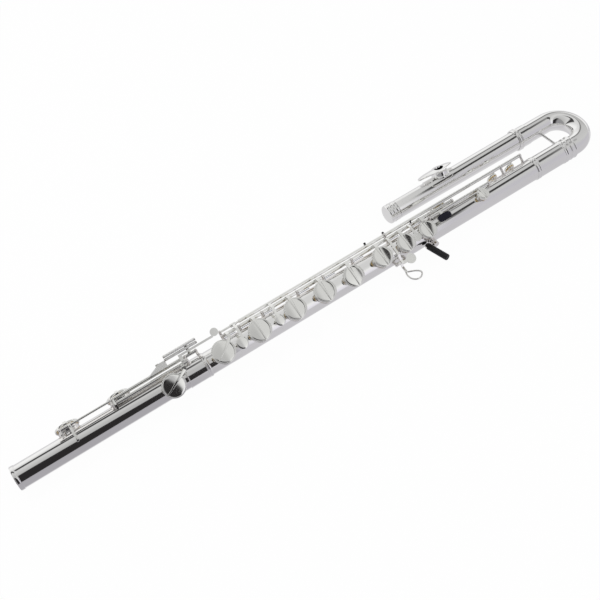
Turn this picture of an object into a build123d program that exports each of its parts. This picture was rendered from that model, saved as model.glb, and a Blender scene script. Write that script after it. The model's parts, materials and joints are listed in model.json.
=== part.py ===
"""Bass flute: foot joint, body and folded head, with closed-cup keys on hinge rods.

+X runs along the body from the foot's end to the bend, +Y from the body to the head tube, and +Z
up, square to the plane of the two tubes. The origin is the middle of the bounding box's bottom.
Across the body a place is given as (u, n): n is the way the keys face and u is square to it,
towards the hinge rods. Stations along the body count from the foot's end. Units: mm and degrees.
"""
import os
from math import asin, atan2, cos, degrees, hypot, radians, sin

from build123d import *

os.makedirs("parts", exist_ok=True)

# Tubes
bore_r = 15.4
tube_wall = 0.6
axis_gap = 64.0
ring_r = 17.3
ring_length = 8.0
socket_ring_length = 6.0
sleeve_wall = 0.8
slide_fit = 0.05
end_bead = 0.5
end_bead_length = 5.5
joint_gap = 0.6

# Folded head
slide_gap = 4.0
bend_tube_r = 15.2
bend_ferrule_length = 11.0
head_socket_length = 24.0
head_tenon_length = 16.0
head_tenon_insert = 10.5
head_r = 14.9
crown_end_r = 13.7
crown_length = 18.0
crown_step = 0.5
crown_groove = 0.7
crown_groove_width = 1.4
crown_groove_set_backs = (6.8, 11.2)
crown_dome = 2.0
plug_gap = 0.6
brace_r = 1.9
brace_foot_r = 3.6
brace_foot_height = 1.5

# Lip plate
lip_angle = 65.0
plate_middle_angle = 52.5
plate_length = 61.0
plate_width = 25.6
plate_wall = 1.2
plate_height = 10.5
plate_middle_set_back = 5.5
hole_length = 14.4
hole_width = 12.4
riser_base_r = 12.0
riser_top_r = 10.2
saddle_wall = 0.9
saddle_length = 52.0
saddle_width = 25.0

# Stopper
stopper_set_back = 28.0
cork_length = 9.0
cork_fit = 0.07
plate_disc = 1.6
stopper_screw_r = 2.5
screw_reach_in_crown = 11.0

# Keys
key_tilt = 35.0
rim_height = 4.0
chimney_wall = 1.2
chimney_inset = 1.6
seat_gap = 0.3
pad_inset = 1.0
pad_thickness = 2.6
cup_skirt = 0.9
cup_height = 3.8
cup_step = 0.45
cup_step_inset = 1.6
arm_thickness = 2.6
arm_width = 4.4
arm_overlap = 4.0
arm_bite = 0.4
low_line_drop = 6.0
elbow_lean = 0.6
elbow_drop = 3.0
ridge_height = 1.3
tip_width = 1.4
tip_inset = 1.0
hinge_tube_r = 2.5
steel_r = 1.5
turn_fit = 0.05
end_play = 0.4
post_head_r = 2.9
post_width = 3.2
post_stem_r = 1.9
base_lip = 1.0
base_height = 1.0
base_sink = 0.5
rib_thickness = 0.9
rib_overhang = 6.0
key_lift = 8.0
side_cup_lift = 9.0
spring_r = 0.4
spring_length = 19.0
needle_drop = 3.9

# Hinge lines, as (u, n)
main_line = (21.0, 8.0)
trill_line = (27.3, 7.2)
c_line = (15.6, 12.2)
lever_line = (-17.2, 14.5)
foot_line = (23.0, 8.0)
e_flat_line = (16.3, 12.4)

# Directions round the body, from the keys' way towards the hinge rods
side_angle = 116.0
small_side_angle = 112.0
vent_angle = 12.0
foot_rib_angle = 47.0
body_rib_angle = 70.5
rib_half = 8.0

# Tone holes from the foot's end on, as (step from the hole before, cup radius, direction)
holes = {
    "low_c": (83.5, 15.5, side_angle),
    "low_c_sharp": (73.5, 15.5, side_angle),
    "e_flat": (65.5, 15.4, -6.0),
    "d": (76.5, 15.5, 0.0),
    "e": (56.0, 15.3, 0.0),
    "f": (56.0, 15.0, 0.0),
    "f_sharp": (48.0, 15.0, 0.0),
    "g_sharp": (47.0, 14.6, 0.0),
    "g": (49.0, 14.2, 0.0),
    "a": (41.0, 12.8, 0.0),
    "b_flat": (38.0, 12.4, 0.0),
    "thumb": (46.5, 12.0, side_angle),
    "c": (56.5, 9.0, vent_angle),
    "trill_d": (43.0, 8.0, small_side_angle),
    "trill_e_flat": (33.0, 8.0, small_side_angle),
}
cups = {}
hole_at = 0.0
for key, (step, radius, angle) in holes.items():
    hole_at += step
    cups[key] = (hole_at, radius, angle)
foot_cups = ("low_c", "low_c_sharp", "e_flat")
body_cups = tuple(key for key in cups if key not in foot_cups)
small_cup_r = 10.0
small_rim_drop = 1.0


def after(key, step):
    """Station at a step past the middle of a tone hole."""
    return cups[key][0] + step


# Ends of the tubes, each from the last hole or the piece before
foot_tube_length = after("e_flat", 27.5)
socket_start = foot_tube_length - 7.0
socket_end = foot_tube_length + 26.5
body_tube_start = foot_tube_length + joint_gap
body_tube_end = after("trill_e_flat", 44.0)
barrel_start = body_tube_end - 19.0
barrel_end = body_tube_end + 43.0
ferrule_start = barrel_end + slide_gap
brace_at = ferrule_start - 1.0
bend_start = ferrule_start + 18.0
head_socket_start = bend_start - 61.0
head_tube_start = head_socket_start - 225.0
embouchure_at = head_tube_start + 87.0

# Post stations
foot_post_end = after("low_c", -9.5)
foot_post_low = after("low_c_sharp", -12.0)
foot_post_high = foot_tube_length + 4.5
foot_post_top = foot_tube_length + 21.0
body_posts = [
    after("d", 11.5),
    after("d", 37.0),
    after("e", 17.6),
    after("f", 18.0),
    after("f_sharp", 12.5),
    after("g_sharp", 13.5),
    after("g", 25.5),
    after("a", 26.5),
    after("b_flat", 22.0),
    after("thumb", 16.5),
]
trill_post_mid = body_posts[6]
trill_post_high = after("trill_d", 12.0)
trill_post_end = after("trill_e_flat", 16.5)
c_post_low = after("thumb", -29.5)
c_post_high = after("c", 22.0)
lever_post_low = after("g", 15.5)
lever_post_high = after("g", 32.0)

# Floor of the box: widest rings at z = 0, and the box's middle under the origin
tube_r = bore_r + tube_wall
overall_length = bend_start + axis_gap / 2 + bend_tube_r
plate_r = crown_end_r + plate_height
plate_half_angle = degrees(asin(plate_width / 2 / (plate_r + plate_wall)))
head_side_reach = axis_gap + (plate_r + plate_wall) * cos(radians(plate_middle_angle - plate_half_angle))
crutch_reach = 56.0
foot_end_x = -overall_length / 2
body_y = (crutch_reach - head_side_reach) / 2
axis_z = ring_r
head_y = body_y + axis_gap


def ray(angle):
    """Direction across the body, turned from the keys' way towards the hinge rods."""
    return Vector(0, sin(radians(angle - key_tilt)), cos(radians(angle - key_tilt)))


def station(at):
    """Plane across the body, whose local x and y are u and n."""
    return Plane(origin=(foot_end_x + at, body_y, axis_z), x_dir=ray(90), z_dir=(1, 0, 0))


def head_station(at):
    """Plane across the head tube, whose local x is +Y and local y is +Z."""
    return Plane(origin=(foot_end_x + at, head_y, axis_z), x_dir=(0, 1, 0), z_dir=(1, 0, 0))


def spot(at, line):
    """Point of the part's frame at a station and a place (u, n)."""
    return station(at).from_local_coords((line[0], line[1], 0))


def face_plane(at, angle, height):
    """Plane square to a ray of the body, at a height from the axis, with local x along the body."""
    origin = Vector(foot_end_x + at, body_y, axis_z) + ray(angle) * height
    return Plane(origin=origin, x_dir=(1, 0, 0), z_dir=ray(angle))


def polar(angle, height):
    """Place (u, n) on the ray at an angle, at a height from the axis."""
    return (height * sin(radians(angle)), height * cos(radians(angle)))


def swung(plane, line, angle):
    """The plane after a turn about the hinge line."""
    pivot = Location(spot(0, line))
    turn = pivot * Location((0, 0, 0), (angle, 0, 0)) * pivot.inverse()
    return Plane(turn * plane.location)


def strut(start, end, radius):
    """Round bar from point to point."""
    run = end - start
    with BuildSketch(Plane(origin=start, z_dir=run)) as profile:
        Circle(radius)
    extrude(profile.sketch, amount=run.length)


def tube(plane, outer, inner, length):
    """Straight tube on a plane."""
    with BuildSketch(plane) as profile:
        Circle(outer)
        if inner > 0:
            Circle(inner, mode=Mode.SUBTRACT)
    extrude(profile.sketch, amount=length)


def limb(plane, points, thickness, width):
    """Flat bar of rounded links through places of a cross-section plane, equal on both its sides."""
    with BuildSketch(plane) as profile:
        for (x0, y0), (x1, y1) in zip(points, points[1:]):
            with Locations(((x0 + x1) / 2, (y0 + y1) / 2)):
                turn = degrees(atan2(y1 - y0, x1 - x0))
                SlotCenterToCenter(hypot(x1 - x0, y1 - y0), thickness, rotation=turn)
    extrude(profile.sketch, amount=width / 2, both=True)


def finish(part, label):
    """Names a finished piece and writes it."""
    part.label = label
    export_step(part, f"parts/{label}.step")


def rim_of(key):
    """Height of a tone hole's rim above the axis."""
    small = cups[key][1] < small_cup_r
    return tube_r + rim_height - (small_rim_drop if small else 0)


def chimney_r(key):
    """Outer radius of a tone hole's chimney."""
    return cups[key][1] - chimney_inset


def cut_tone_holes(keys):
    """Cuts the holes under the cups through the wall."""
    for key in keys:
        at, radius, angle = cups[key]
        with BuildSketch(face_plane(at, angle, 0)) as profile:
            Circle(chimney_r(key) - chimney_wall)
        extrude(profile.sketch, amount=rim_of(key), mode=Mode.SUBTRACT)


def chimneys(keys, label):
    """Short tubes that stand on the wall round the holes, each a piece of its own."""
    with BuildPart() as rims:
        for key in keys:
            at, radius, angle = cups[key]
            tube(face_plane(at, angle, tube_r / 2), chimney_r(key), chimney_r(key) - chimney_wall,
                 rim_of(key) - tube_r / 2)
        first = min(cups[key][0] for key in keys) - 2 * tube_r
        last = max(cups[key][0] for key in keys) + 2 * tube_r
        with BuildSketch(station(first)):
            Circle(tube_r)
        extrude(amount=last - first, mode=Mode.SUBTRACT)
    finish(rims.part, label)


def rib(start, end, middle, half_width, keys, label):
    """Strap along the tube that carries the posts, cut away round the chimneys."""
    with BuildPart() as strap:
        with BuildSketch(station(start)):
            Circle(tube_r + rib_thickness)
            Circle(tube_r, mode=Mode.SUBTRACT)
            reach = 2 * tube_r
            left = polar(middle - half_width, reach)
            right = polar(middle + half_width, reach)
            with BuildLine():
                Polyline((0, 0), left, right, close=True)
            make_face(mode=Mode.INTERSECT)
        extrude(amount=end - start)
        for key in keys:
            at, radius, angle = cups[key]
            with BuildSketch(face_plane(at, angle, 0)):
                Circle(chimney_r(key))
            extrude(amount=2 * tube_r, mode=Mode.SUBTRACT)
    finish(strap.part, label)


def ball_head(at, line, radius):
    """Ball with two flat faces, on a hinge line."""
    half = post_width / 2
    edge = (radius ** 2 - half ** 2) ** 0.5
    with BuildSketch(Plane(origin=spot(at, line), x_dir=(1, 0, 0), z_dir=ray(0))) as profile:
        with BuildLine():
            ThreePointArc((-half, edge), (0, radius), (half, edge))
            Polyline((half, edge), (half, 0), (-half, 0), (-half, edge))
        make_face()
    revolve(profile.sketch, axis=Axis(spot(at, line), (1, 0, 0)))


def post(at, base_angle, lines, stand, radius=post_head_r):
    """Post from its base disc on the tube or rib to a ball head on each hinge line."""
    foot = tube_r + stand
    for line in lines:
        strut(spot(at, polar(base_angle, foot)), spot(at, line), post_stem_r)
    for line in lines:
        ball_head(at, line, radius)
    with BuildSketch(face_plane(at, base_angle, foot - base_sink)) as profile:
        Circle(post_stem_r + base_lip)
    extrude(profile.sketch, amount=base_sink + base_height)


def bore_heads(start, end, line, radius):
    """Hole along a hinge line through the heads."""
    with BuildSketch(station(start)) as profile:
        with Locations(line):
            Circle(radius)
    extrude(profile.sketch, amount=end - start, mode=Mode.SUBTRACT)


def trim_inside(start, end, radius):
    """Cuts away what dips inside a round surface about the body's axis."""
    with BuildSketch(station(start)) as profile:
        Circle(radius)
    extrude(profile.sketch, amount=end - start, mode=Mode.SUBTRACT)


def hinge_tube(start, end, line):
    """Tube that turns on a steel."""
    with BuildSketch(station(start)) as profile:
        with Locations(line):
            Circle(hinge_tube_r)
            Circle(steel_r + turn_fit, mode=Mode.SUBTRACT)
    extrude(profile.sketch, amount=end - start)


def collar(start, end, line):
    """Thicker stretch of a rod that turns in its posts."""
    with BuildSketch(station(start)) as profile:
        with Locations(line):
            Circle(hinge_tube_r)
    extrude(profile.sketch, amount=end - start)


def between(left, right):
    """Ends of a hinge tube that runs between two posts."""
    return left + post_width / 2 + end_play, right - post_width / 2 - end_play


def cup_and_arm(key, line, swing, arm_at, square_arm=False):
    """Cup with its stepped top, and the arm over it, for a cup closed over its tone hole.

    The arm climbs from the hinge line past the cup's edge and runs across its top to a point. A
    square arm climbs beside the cup's wall instead of leaning over it.
    """
    at, radius, angle = cups[key]
    seat = rim_of(key) + seat_gap
    top = cup_height
    mouth = swung(face_plane(at, angle, seat), line, swing)
    with BuildSketch(mouth.offset(cup_skirt)) as profile:
        Circle(radius)
    extrude(profile.sketch, amount=top - cup_skirt)
    with BuildSketch(mouth.offset(top)) as profile:
        Circle(radius - cup_step_inset)
    extrude(profile.sketch, amount=cup_step)
    with BuildSketch(mouth.offset(cup_skirt)) as profile:
        Circle(radius - pad_inset)
    extrude(profile.sketch, amount=pad_thickness - cup_skirt, mode=Mode.SUBTRACT)

    # The hinge line as the cup sees it: across its face, and above the body's axis
    turn = radians(angle)
    across = line[0] * cos(turn) - line[1] * sin(turn)
    height = line[0] * sin(turn) + line[1] * cos(turn)
    side = 1 if across > 0 else -1
    roof = seat + top + cup_step + ridge_height - arm_thickness / 2
    cross = Plane(origin=station(arm_at).origin, x_dir=ray(angle + 90), z_dir=(1, 0, 0))
    inner = side * (radius - arm_overlap)
    if square_arm:
        wall = side * (radius + arm_thickness / 2 - arm_bite)
        points = [(across, height), (wall, height + hinge_tube_r), (wall, roof), (inner, roof)]
    elif height < roof - low_line_drop:
        root = (across, height + hinge_tube_r - arm_thickness / 2)
        elbow = (across - side * elbow_lean, roof - elbow_drop)
        shoulder = (side * (min(abs(across) - 1, radius + 2.5) - 2 * elbow_lean), roof)
        points = [root, elbow, shoulder, (inner, roof)]
    else:
        points = [(across, height), (inner, roof)]
    limb(swung(cross, line, swing), points, arm_thickness, arm_width)

    # Pointed ridge over the cup, from the arm to the far rim
    plan = mouth.offset(top)
    start = Vector(arm_at - at, inner)
    way = start.normalized()
    tip = way * (tip_inset - radius)
    square = Vector(-way.Y, way.X)
    if start.length < radius - 2 * tip_inset:
        start = way * (radius - 2 * tip_inset)
    with BuildSketch(plan) as profile:
        with BuildLine():
            Polyline(
                start + square * (arm_width / 2),
                tip + square * (tip_width / 2),
                tip - square * (tip_width / 2),
                start - square * (arm_width / 2),
                close=True,
            )
        make_face()
    extrude(profile.sketch, amount=cup_step + ridge_height)


def pad(key, line, swing):
    """Felt pad in a skin, held in the cup."""
    at, radius, angle = cups[key]
    mouth = swung(face_plane(at, angle, rim_of(key) + seat_gap), line, swing)
    with BuildPart() as disc:
        with BuildSketch(mouth):
            Circle(radius - pad_inset)
        extrude(amount=pad_thickness)
    finish(disc.part, f"{key}_pad")


def touch_disc(at, place, radius, thickness, line, swing):
    """Round finger plate, flat across the keys' way."""
    flat = Plane(origin=spot(at, place), x_dir=(1, 0, 0), z_dir=ray(0))
    with BuildSketch(swung(flat, line, swing)) as profile:
        Circle(radius)
    extrude(profile.sketch, amount=thickness)


# Foot joint: tube with a beaded end
with BuildPart() as foot_tube:
    tube(station(0), tube_r, bore_r, foot_tube_length)
    tube(station(0), tube_r + end_bead, bore_r, end_bead_length)
    cut_tone_holes(foot_cups)
finish(foot_tube.part, "foot_tube")

chimneys(foot_cups, "foot_tone_hole_rims")

# Foot joint: socket that the body's end turns in, with its ring
with BuildPart() as foot_socket:
    tube(station(socket_start), tube_r + sleeve_wall, tube_r, foot_tube_length - socket_start)
    tube(station(foot_tube_length), tube_r + sleeve_wall, tube_r + slide_fit, socket_end - foot_tube_length)
    tube(station(socket_end - socket_ring_length), ring_r, tube_r + sleeve_wall, socket_ring_length)
finish(foot_socket.part, "foot_socket")

# Foot joint: rib, posts, steel and needle springs
rib(foot_post_end - rib_overhang, socket_start - joint_gap, foot_rib_angle, rib_half, foot_cups, "foot_rib")


def needle_place(line, base_angle):
    """Place of the springs on a row of posts, on their stems just below the heads."""
    root = polar(base_angle, tube_r + rib_thickness)
    share = needle_drop / hypot(root[0] - line[0], root[1] - line[1])
    return (line[0] + (root[0] - line[0]) * share, line[1] + (root[1] - line[1]) * share)


def needle(at, line, base_angle, length):
    """Needle spring that leaves a post between its base and its head."""
    with BuildSketch(station(at)) as profile:
        with Locations(needle_place(line, base_angle)):
            Circle(spring_r)
    extrude(profile.sketch, amount=length)


with BuildPart() as foot_posts:
    post(foot_post_end, foot_rib_angle, [foot_line], rib_thickness)
    post(foot_post_low, foot_rib_angle, [foot_line, e_flat_line], rib_thickness)
    trim_inside(0, socket_start, tube_r + rib_thickness)
    post(foot_post_high, foot_rib_angle, [foot_line, e_flat_line], sleeve_wall)
    trim_inside(socket_start, foot_post_high + ring_length, tube_r + sleeve_wall)
    post(foot_post_top, foot_rib_angle, [foot_line], ring_r - tube_r)
    trim_inside(foot_post_top - ring_length, socket_end, ring_r)
    bore_heads(0, socket_end, foot_line, steel_r + turn_fit)
    bore_heads(0, socket_end, e_flat_line, steel_r)
    bore_heads(0, socket_end, needle_place(foot_line, foot_rib_angle), spring_r)
finish(foot_posts.part, "foot_posts")


def steel(start, end, line):
    """Steel rod through the posts of a hinge line."""
    with BuildSketch(station(start - post_width / 2)) as profile:
        with Locations(line):
            Circle(steel_r)
    extrude(profile.sketch, amount=end - start + post_width)


with BuildPart() as e_flat_steel:
    steel(foot_post_low, foot_post_high, e_flat_line)
finish(e_flat_steel.part, "e_flat_steel")


# Foot joint: low C key, a rod that turns in the posts, with its cup, its stop and its roller frame
def roller_frame(place, arm_at, arm_points, swing):
    """Two lugs on a rail, an axle for a roller between them, and the arm from the hinge line."""
    u, n = place
    rail = n - roller_r - rail_gap - rail_height / 2
    first = roller_start - roller_play - lug_width
    last = roller_end + roller_play + lug_width
    with BuildSketch(swung(station(first), foot_line, swing)) as profile:
        with Locations((u, rail)):
            Rectangle(2 * roller_r, rail_height)
    extrude(profile.sketch, amount=last - first)
    for at in (first + lug_width / 2, last - lug_width / 2):
        limb(swung(station(at), foot_line, swing), [(u, rail), place], 2 * roller_r, lug_width)
    with BuildSketch(swung(station(first), foot_line, swing)) as profile:
        with Locations(place):
            Circle(axle_r)
    extrude(profile.sketch, amount=last - first)
    limb(swung(station(arm_at), foot_line, swing), arm_points + [(u, rail)], rail_height, arm_width)


roller_start = foot_tube_length - 19.0
roller_end = foot_tube_length + 25.0
roller_r = 1.7
roller_play = 0.4
lug_width = 1.5
axle_r = 0.8
rail_gap = 0.4
rail_height = 1.8
c_sharp_roller_place = (33.0, 14.3)
c_roller_place = (37.5, 14.3)
c_arm_at = foot_post_high + 8.5
c_arm_elbow = (31.0, 5.2)
c_arm_end = (37.9, 6.4)
low_c_collar_end = after("low_c", 7.5)
low_c_stop = [(21.8, 15.5), (15.0, 18.3), (0.6, tube_r + seat_gap + arm_thickness / 2)]
low_c_stop_width = 3.0

with BuildPart() as low_c_key:
    steel(foot_post_end, foot_post_top, foot_line)
    collar(between(foot_post_end, foot_post_low)[0], low_c_collar_end, foot_line)
    collar(*between(foot_post_high, foot_post_top), foot_line)
    cup_and_arm("low_c", foot_line, side_cup_lift, after("low_c", 0))
    limb(station(after("low_c", 4.0)), [foot_line] + low_c_stop, arm_thickness, low_c_stop_width)
    roller_frame(c_roller_place, c_arm_at, [foot_line, c_arm_elbow, c_arm_end], side_cup_lift)
finish(low_c_key.part, "low_c_key")
pad("low_c", foot_line, side_cup_lift)

c_sharp_stop_at = foot_post_low + 3.5
c_sharp_stop = [(21.5, 14.0), (15.0, 16.6), (9.5, 15.2)]
c_sharp_stop_size = (1.8, 2.5)
c_sharp_arm_at = roller_start - 13.0
c_sharp_arm_end = (28.0, 9.5)
web_height = 11.0
web_corners = ((-30.0, 24.5), (-1.8, 24.5), (-1.8, 33.2), (-10.0, 33.2))

with BuildPart() as low_c_sharp_key:
    start, end = between(foot_post_low, foot_post_high)
    hinge_tube(start, end, foot_line)
    cup_and_arm("low_c_sharp", foot_line, side_cup_lift, after("low_c_sharp", 0))
    limb(station(c_sharp_stop_at), [foot_line] + c_sharp_stop, *c_sharp_stop_size)
    roller_frame(c_sharp_roller_place, c_sharp_arm_at, [foot_line, c_sharp_arm_end], side_cup_lift)
    flat = Plane(origin=spot(roller_start, (0, web_height)), x_dir=(1, 0, 0), z_dir=ray(0))
    with BuildSketch(swung(flat, foot_line, side_cup_lift)):
        with BuildLine():
            Polyline(*web_corners, close=True)
        make_face()
    extrude(amount=rail_height)
    bore_heads(start, end, foot_line, steel_r + turn_fit)
finish(low_c_sharp_key.part, "low_c_sharp_key")
pad("low_c_sharp", foot_line, side_cup_lift)

for place, label in ((c_sharp_roller_place, "c_sharp_roller"), (c_roller_place, "c_roller")):
    with BuildPart() as roller:
        with BuildSketch(swung(station(roller_start), foot_line, side_cup_lift)):
            with Locations(place):
                Circle(roller_r)
                Circle(axle_r + turn_fit, mode=Mode.SUBTRACT)
        extrude(amount=roller_end - roller_start)
    finish(roller.part, label)

# Foot joint: E flat key, closed at rest, with a long finger plate past the rollers
e_flat_tube_start = foot_post_low + 7.0
e_flat_arm_at = foot_post_high - 10.0
e_flat_elbow = (19.5, 17.0)
e_flat_bar = (27.6, 15.4)
e_flat_bar_size = (2.9, 1.8)
e_flat_bar_end = foot_post_high + 44.5
e_flat_plate_at = e_flat_bar_end + 4.0
e_flat_plate_r = 5.5

with BuildPart() as e_flat_key:
    end = between(foot_post_low, foot_post_high)[1]
    hinge_tube(e_flat_tube_start, end, e_flat_line)
    cup_and_arm("e_flat", e_flat_line, 0, e_flat_arm_at)
    root = station(e_flat_arm_at + arm_width)
    limb(root, [e_flat_line, e_flat_elbow, e_flat_bar], e_flat_bar_size[1], arm_width)
    with BuildSketch(station(e_flat_arm_at + arm_width / 2)):
        with Locations(e_flat_bar):
            Rectangle(*e_flat_bar_size)
    extrude(amount=e_flat_bar_end - e_flat_arm_at - arm_width / 2)
    place = (e_flat_bar[0] + 3.9, e_flat_bar[1] - e_flat_bar_size[1] / 2)
    touch_disc(e_flat_plate_at, place, e_flat_plate_r, e_flat_bar_size[1], e_flat_line, 0)
    bore_heads(e_flat_tube_start, end, e_flat_line, steel_r + turn_fit)
finish(e_flat_key.part, "e_flat_key")
pad("e_flat", e_flat_line, 0)

with BuildPart() as foot_springs:
    needle(foot_post_end, foot_line, foot_rib_angle, spring_length)
    needle(foot_post_low, foot_line, foot_rib_angle, spring_length)
finish(foot_springs.part, "foot_needle_springs")

# Body: tube, tone hole rims, barrel with its two rings
with BuildPart() as body_tube:
    tube(station(body_tube_start), tube_r, bore_r, body_tube_end - body_tube_start)
    cut_tone_holes(body_cups)
finish(body_tube.part, "body_tube")

chimneys(body_cups, "body_tone_hole_rims")

with BuildPart() as barrel:
    tube(station(barrel_start), tube_r + sleeve_wall, tube_r, body_tube_end - barrel_start)
    tube(station(body_tube_end), tube_r + sleeve_wall, tube_r + slide_fit, barrel_end - body_tube_end)
    for start in (barrel_start, barrel_end - ring_length):
        tube(station(start), ring_r, tube_r + sleeve_wall, ring_length)
finish(barrel.part, "barrel")

# Body: rib, posts, steels and needle springs
rib_ends = (body_posts[0] - rib_overhang, trill_post_end + rib_overhang)
rib(*rib_ends, body_rib_angle, rib_half, body_cups, "body_rib")
c_post_angle = degrees(atan2(*c_line))
lever_post_angle = degrees(atan2(*lever_line))
mid_head_r = 3.9

with BuildPart() as body_post_set:
    for at in body_posts:
        post(at, body_rib_angle, [main_line], rib_thickness)
    for at in (body_posts[0], trill_post_high, trill_post_end):
        post(at, body_rib_angle, [trill_line], rib_thickness)
    post(trill_post_mid, body_rib_angle, [trill_line], rib_thickness, mid_head_r)
    trim_inside(body_tube_start, body_tube_end, tube_r + rib_thickness)
    for at in (c_post_low, c_post_high):
        post(at, c_post_angle, [c_line], 0)
    for at in (lever_post_low, lever_post_high):
        post(at, lever_post_angle, [lever_line], 0)
    trim_inside(body_tube_start, body_tube_end, tube_r)
    for line in (main_line, c_line, lever_line):
        bore_heads(body_tube_start, body_tube_end, line, steel_r)
    bore_heads(body_tube_start, body_tube_end, trill_line, steel_r + turn_fit)
    middle_post = (trill_post_mid - post_width, trill_post_mid + post_width)
    bore_heads(*middle_post, trill_line, hinge_tube_r + turn_fit)
    bore_heads(body_tube_start, body_tube_end, needle_place(main_line, body_rib_angle), spring_r)
finish(body_post_set.part, "body_posts")

with BuildPart() as key_steels:
    steel(body_posts[0], body_posts[-1], main_line)
    steel(c_post_low, c_post_high, c_line)
    steel(lever_post_low, lever_post_high, lever_line)
finish(key_steels.part, "key_steels")

with BuildPart() as body_springs:
    for at in body_posts[:-1]:
        needle(at, main_line, body_rib_angle, spring_length)
finish(body_springs.part, "body_needle_springs")


def plain_key(key, left, right, arm_step=0.0, swing=-key_lift):
    """Key with one cup, on a hinge tube between two posts of the main line."""
    start, end = between(left, right)
    with BuildPart() as made:
        hinge_tube(start, end, main_line)
        cup_and_arm(key, main_line, swing, after(key, arm_step))
        bore_heads(start, end, main_line, steel_r + turn_fit)
    finish(made.part, f"{key}_key")
    pad(key, main_line, swing)


# Body: the keys of the main line that are a cup and its arm
plain_key("d", body_posts[0], body_posts[1], arm_step=16.5)
plain_key("e", body_posts[1], body_posts[2])
plain_key("f", body_posts[2], body_posts[3])
plain_key("f_sharp", body_posts[3], body_posts[4])
plain_key("g_sharp", body_posts[4], body_posts[5], swing=0)
plain_key("b_flat", body_posts[7], body_posts[8])

# Body: G key, with an offset button past the far side of the tube
touch_thickness = 1.5
g_arm_at = after("g", 20.5)
g_arm = [(21.0, 9.2), (19.6, 21.0), (15.0, 24.2), (-9.0, 24.2), (-16.0, 21.0), (-21.5, 20.2)]
g_arm_size = (2.2, 3.4)
button_at = g_arm_at + 14.0
button_place = (-21.5, 19.5)
button_r = 7.3

with BuildPart() as g_key:
    start, end = between(body_posts[5], body_posts[6])
    hinge_tube(start, end, main_line)
    cup_and_arm("g", main_line, -key_lift, after("g", 0))
    limb(swung(station(g_arm_at), main_line, -key_lift), g_arm, *g_arm_size)
    touch_disc(button_at, button_place, button_r, touch_thickness, main_line, -key_lift)
    neck = Plane(origin=spot((g_arm_at + button_at) / 2, button_place), x_dir=(1, 0, 0), z_dir=ray(0))
    with BuildSketch(swung(neck, main_line, -key_lift)):
        Rectangle(button_at - g_arm_at, arm_width)
    extrude(amount=touch_thickness)
    bore_heads(start, end, main_line, steel_r + turn_fit)
finish(g_key.part, "g_key")
pad("g", main_line, -key_lift)

# Body: A key, with a small finger plate beside its cup
a_disc_at = after("a", 18.7)
a_arm = [(21.0, 9.2), (20.2, 18.0), (16.0, 22.0), (0.0, 22.0)]
a_arm_width = 3.4
a_disc = (-1.0, 21.3)
a_disc_r = 6.2

with BuildPart() as a_key:
    start, end = between(body_posts[6], body_posts[7])
    hinge_tube(start, end, main_line)
    cup_and_arm("a", main_line, -key_lift, after("a", 0))
    limb(swung(station(a_disc_at), main_line, -key_lift), a_arm, touch_thickness, a_arm_width)
    touch_disc(a_disc_at, a_disc, a_disc_r, touch_thickness, main_line, -key_lift)
    bore_heads(start, end, main_line, steel_r + turn_fit)
finish(a_key.part, "a_key")
pad("a", main_line, -key_lift)

# Body: thumb key, its cup on the side towards the head tube and its plate past the cup
thumb_plate_angle = 146.0
thumb_plate_height = 25.0
thumb_plate_at = after("thumb", -17.5)
thumb_plate_size = (30.0, 10.0)
thumb_arm_at = after("thumb", -8.0)
thumb_arm = [polar(side_angle, 24.9), polar(134, 26.4), polar(thumb_plate_angle, 25.7)]
thumb_arm_size = (1.8, 5.0)

with BuildPart() as thumb_key:
    start, end = between(body_posts[8], body_posts[9])
    hinge_tube(start, end, main_line)
    cup_and_arm("thumb", main_line, side_cup_lift, after("thumb", 0), square_arm=True)
    flat = swung(face_plane(thumb_plate_at, thumb_plate_angle, thumb_plate_height), main_line, side_cup_lift)
    with BuildSketch(flat):
        SlotOverall(*thumb_plate_size)
    extrude(amount=touch_thickness)
    limb(swung(station(thumb_arm_at), main_line, side_cup_lift), thumb_arm, *thumb_arm_size)
    bore_heads(start, end, main_line, steel_r + turn_fit)
finish(thumb_key.part, "thumb_key")
pad("thumb", main_line, side_cup_lift)

# Body: C key, its vent near the barrel and its oval finger plate, on the low short hinge line
c_plate_at = c_post_low + 15.5
c_plate = (4.6, 21.6)
c_plate_size = (22.8, 11.4)
c_plate_arm = [c_line, (14.6, 19.6), (6.0, 22.3)]
c_plate_arm_width = 4.0
c_inlay_edge = 0.6
c_inlay_height = 0.8

with BuildPart() as c_key:
    start, end = between(c_post_low, c_post_high)
    hinge_tube(start, end, c_line)
    cup_and_arm("c", c_line, -key_lift, after("c", 0))
    limb(swung(station(c_plate_at), c_line, -key_lift), c_plate_arm, touch_thickness, c_plate_arm_width)
    flat = Plane(origin=spot(c_plate_at, c_plate), x_dir=(1, 0, 0), z_dir=ray(0))
    with BuildSketch(swung(flat, c_line, -key_lift)):
        SlotOverall(*c_plate_size)
    extrude(amount=touch_thickness)
    bore_heads(start, end, c_line, steel_r + turn_fit)
finish(c_key.part, "c_key")
pad("c", c_line, -key_lift)

with BuildPart() as c_inlay:
    with BuildSketch(swung(flat.offset(touch_thickness), c_line, -key_lift)):
        SlotOverall(c_plate_size[0] - 2 * c_inlay_edge, c_plate_size[1] - 2 * c_inlay_edge)
    extrude(amount=c_inlay_height)
finish(c_inlay.part, "c_key_inlay")


trill_arm = [trill_line, (26.4, 14.0), (20.5, 21.6), (4.0, 22.2)]
trill_arm_width = 3.6
trill_touch_place = (0.0, 21.4)
trill_e_flat_touch_at = (after("d", 0) + after("e", 0)) / 2
trill_d_touch_at = (after("e", 0) + after("f", 0)) / 2 + 3.0


def trill_touch(at, radius, arm_step=0.0):
    """Small round finger plate between two cups, on an arm over the main line."""
    limb(station(at + arm_step), trill_arm, touch_thickness, trill_arm_width)
    touch_disc(at, trill_touch_place, radius, touch_thickness, trill_line, 0)


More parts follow.
